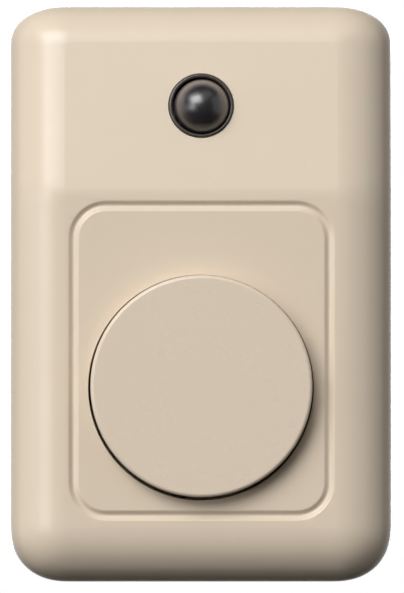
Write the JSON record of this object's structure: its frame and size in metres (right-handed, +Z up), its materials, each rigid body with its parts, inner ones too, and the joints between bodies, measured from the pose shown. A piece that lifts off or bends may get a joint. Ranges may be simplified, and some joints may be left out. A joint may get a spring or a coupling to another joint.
{
  "type": "doorbell push",
  "caption": "Wall-mounted bell push: cushion-shaped cover with a sloping brow, a smoked indicator lens and a large round spring-return button in a grooved panel.",
  "frame": {"origin": "centre of the base plate's flat back, which lies on the wall", "axes": "+Z up the wall, +Y into the wall, the front faces -Y, +X to the viewer's right"},
  "size_m": [0.053, 0.0207, 0.08],
  "materials": {
    "base_moulding": "moulded ivory plastic, satin",
    "cover_moulding": "moulded ivory plastic, satin gloss",
    "button_moulding": "moulded ivory plastic, satin",
    "spring_steel": "drawn spring wire",
    "contact_brass": "stamped brass",
    "contact_silver": "silver contact metal",
    "block_phenolic": "moulded brown phenolic",
    "plated_steel": "zinc-plated steel",
    "black_moulding": "black moulded plastic",
    "smoked_lens": "polished smoked acrylic",
    "clear_epoxy": "clear cast epoxy",
    "circuit_board": "lacquered glass-fibre board",
    "resistor_coat": "beige lacquer",
    "wire_blue": "blue PVC insulation",
    "wire_red": "red PVC insulation"
  },
  "bodies": {
    "housing": {"base_plate": "base_moulding", "front_cover": "cover_moulding", "return_spring": "spring_steel", "contact_block": "block_phenolic", "fixed_contact_left": "contact_brass", "fixed_contact_right": "contact_brass", "fixed_contact_rivets": "contact_silver", "terminal_clamps": "plated_steel", "terminal_screws": "plated_steel", "block_screws": "plated_steel", "lens_bezel": "black_moulding", "indicator_lens": "smoked_lens", "lens_retainer": "black_moulding", "indicator_led": "clear_epoxy", "lamp_board": "circuit_board", "series_resistor": "resistor_coat", "rectifier_diode": "black_moulding", "board_screws": "plated_steel", "lamp_wire_left": "wire_blue", "lamp_wire_right": "wire_red"},
    "button": {"push_button": "button_moulding", "contact_bridge": "contact_brass", "bridge_contacts": "contact_silver", "bridge_clip": "spring_steel"}
  },
  "joints": [
    {"name": "button_press", "type": "slide", "parent": "housing", "child": "button", "axis": [0, 1, 0], "range_m": [0, 0.0015], "stiffness_N_per_m": 400, "springref_m": -0.004, "deforming": ["return_spring"]}
  ]
}
